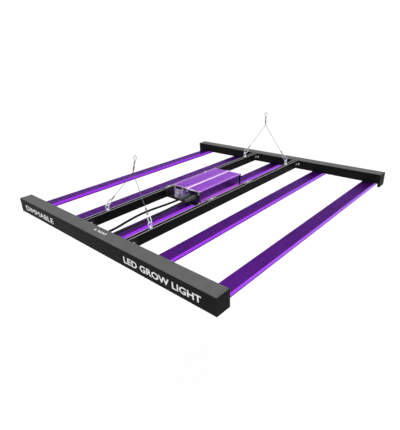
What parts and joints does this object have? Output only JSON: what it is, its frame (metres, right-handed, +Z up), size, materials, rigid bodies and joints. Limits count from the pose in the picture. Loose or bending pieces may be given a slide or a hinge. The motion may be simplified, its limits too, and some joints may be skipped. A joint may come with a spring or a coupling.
{
  "type": "LED grow light",
  "caption": "Hanging horticultural light: slim LED bars under two end beams, a driver with a dimmer knob on a pair of slotted rails, and two wire-rope bridles with snap hooks.",
  "frame": {"origin": "middle of the rectangle that the light rests on, level with the undersides of the end beams and bars", "axes": "+X along the end beams, with the dimmer knob on the -X half; +Y along the light bars, from the dimmer's end to the mains inlet's end; +Z up, to the hanging loops"},
  "size_m": [0.89, 0.97, 0.2463],
  "materials": {
    "beam": "satin black coating",
    "end_cap": "moulded, fine texture",
    "heat_sink": "violet anodised",
    "led_board": "white solder mask",
    "lens": "clear",
    "rail": "black anodised",
    "bracket": "black coated",
    "strap": "dark grey coated steel",
    "screw": "zinc plated",
    "zinc_steel": "bright zinc plated",
    "driver_case": "violet anodised",
    "driver_plate": "violet anodised",
    "knob": "moulded",
    "shaft": "turned",
    "control": "moulded",
    "gland": "moulded",
    "lead": "satin sheath",
    "grommet": "soft",
    "circuit_board": "solder mask",
    "transformer": "taped core",
    "capacitor": "sleeved can",
    "connector": "moulded",
    "hook": "bright zinc plated",
    "rope": "stranded wire",
    "crimp": "dull pressed sleeve"
  },
  "bodies": {
    "light": {"front_beam": "beam", "rear_beam": "beam", "front_left_cap": "end_cap", "front_right_cap": "end_cap", "rear_left_cap": "end_cap", "rear_right_cap": "end_cap", "led_bar_1": "heat_sink", "led_bar_2": "heat_sink", "led_bar_3": "heat_sink", "led_bar_4": "heat_sink", "led_bar_5": "heat_sink", "led_board_1": "led_board", "led_board_2": "led_board", "led_board_3": "led_board", "led_board_4": "led_board", "led_board_5": "led_board", "lens_1": "lens", "lens_2": "lens", "lens_3": "lens", "lens_4": "lens", "lens_5": "lens", "bar_screws": "screw", "left_rail": "rail", "right_rail": "rail", "rail_brackets": "bracket", "rail_bracket_screws": "screw", "slot_nuts": "zinc_steel", "eyebolts": "zinc_steel", "driver_housing": "driver_case", "driver_front_plate": "driver_plate", "driver_rear_plate": "driver_plate", "driver_plate_screws": "screw", "driver_board": "circuit_board", "driver_transformer": "transformer", "driver_capacitors": "capacitor", "driver_front_strap": "strap", "driver_rear_strap": "strap", "driver_strap_screws": "screw", "dimmer_control": "control", "left_lead_gland": "gland", "right_lead_gland": "gland", "mains_gland": "gland", "left_lead": "lead", "right_lead": "lead", "lead_grommets": "grommet", "wiring_strip": "circuit_board", "terminal_block": "connector", "bar_plugs": "connector"},
    "dimmer": {"dimmer_knob": "knob", "dimmer_shaft": "shaft"},
    "front_bridle": {"front_snap_hooks": "hook", "front_rope": "rope", "front_crimps": "crimp"},
    "front_left_gate": {"front_left_gate": "hook"},
    "front_right_gate": {"front_right_gate": "hook"},
    "rear_bridle": {"rear_snap_hooks": "hook", "rear_rope": "rope", "rear_crimps": "crimp"},
    "rear_left_gate": {"rear_left_gate": "hook"},
    "rear_right_gate": {"rear_right_gate": "hook"}
  },
  "joints": [
    {"name": "front_bridle_swing", "type": "hinge", "parent": "light", "child": "front_bridle", "pos_m": [0, -0.36, 0.0605], "axis": [1, 0, 0], "range_deg": [-70, 106]},
    {"name": "front_left_gate_turn", "type": "hinge", "parent": "front_bridle", "child": "front_left_gate", "pos_m": [-0.09367, -0.35788, 0.06702], "axis": [0, -0.9511, 0.309], "range_deg": [0, 25], "stiffness_Nm_per_rad": 0.01, "springref_deg": -28.65},
    {"name": "front_right_gate_turn", "type": "hinge", "parent": "front_bridle", "child": "front_right_gate", "pos_m": [0.09367, -0.35788, 0.06702], "axis": [0, 0.9511, -0.309], "range_deg": [0, 25], "stiffness_Nm_per_rad": 0.01, "springref_deg": -28.65},
    {"name": "rear_bridle_swing", "type": "hinge", "parent": "light", "child": "rear_bridle", "pos_m": [0, 0.36, 0.0605], "axis": [1, 0, 0], "range_deg": [-88, 88]},
    {"name": "rear_left_gate_turn", "type": "hinge", "parent": "rear_bridle", "child": "rear_left_gate", "pos_m": [-0.0937, 0.36, 0.06768], "axis": [0, -1, 0], "range_deg": [0, 25], "stiffness_Nm_per_rad": 0.01, "springref_deg": -28.65},
    {"name": "rear_right_gate_turn", "type": "hinge", "parent": "rear_bridle", "child": "rear_right_gate", "pos_m": [0.0937, 0.36, 0.06768], "axis": [0, 1, 0], "range_deg": [0, 25], "stiffness_Nm_per_rad": 0.01, "springref_deg": -28.65},
    {"name": "dimmer_turn", "type": "hinge", "parent": "light", "child": "dimmer", "pos_m": [-0.037, -0.1115, 0.0385], "axis": [0, -1, 0], "range_deg": [-150, 150]}
  ]
}
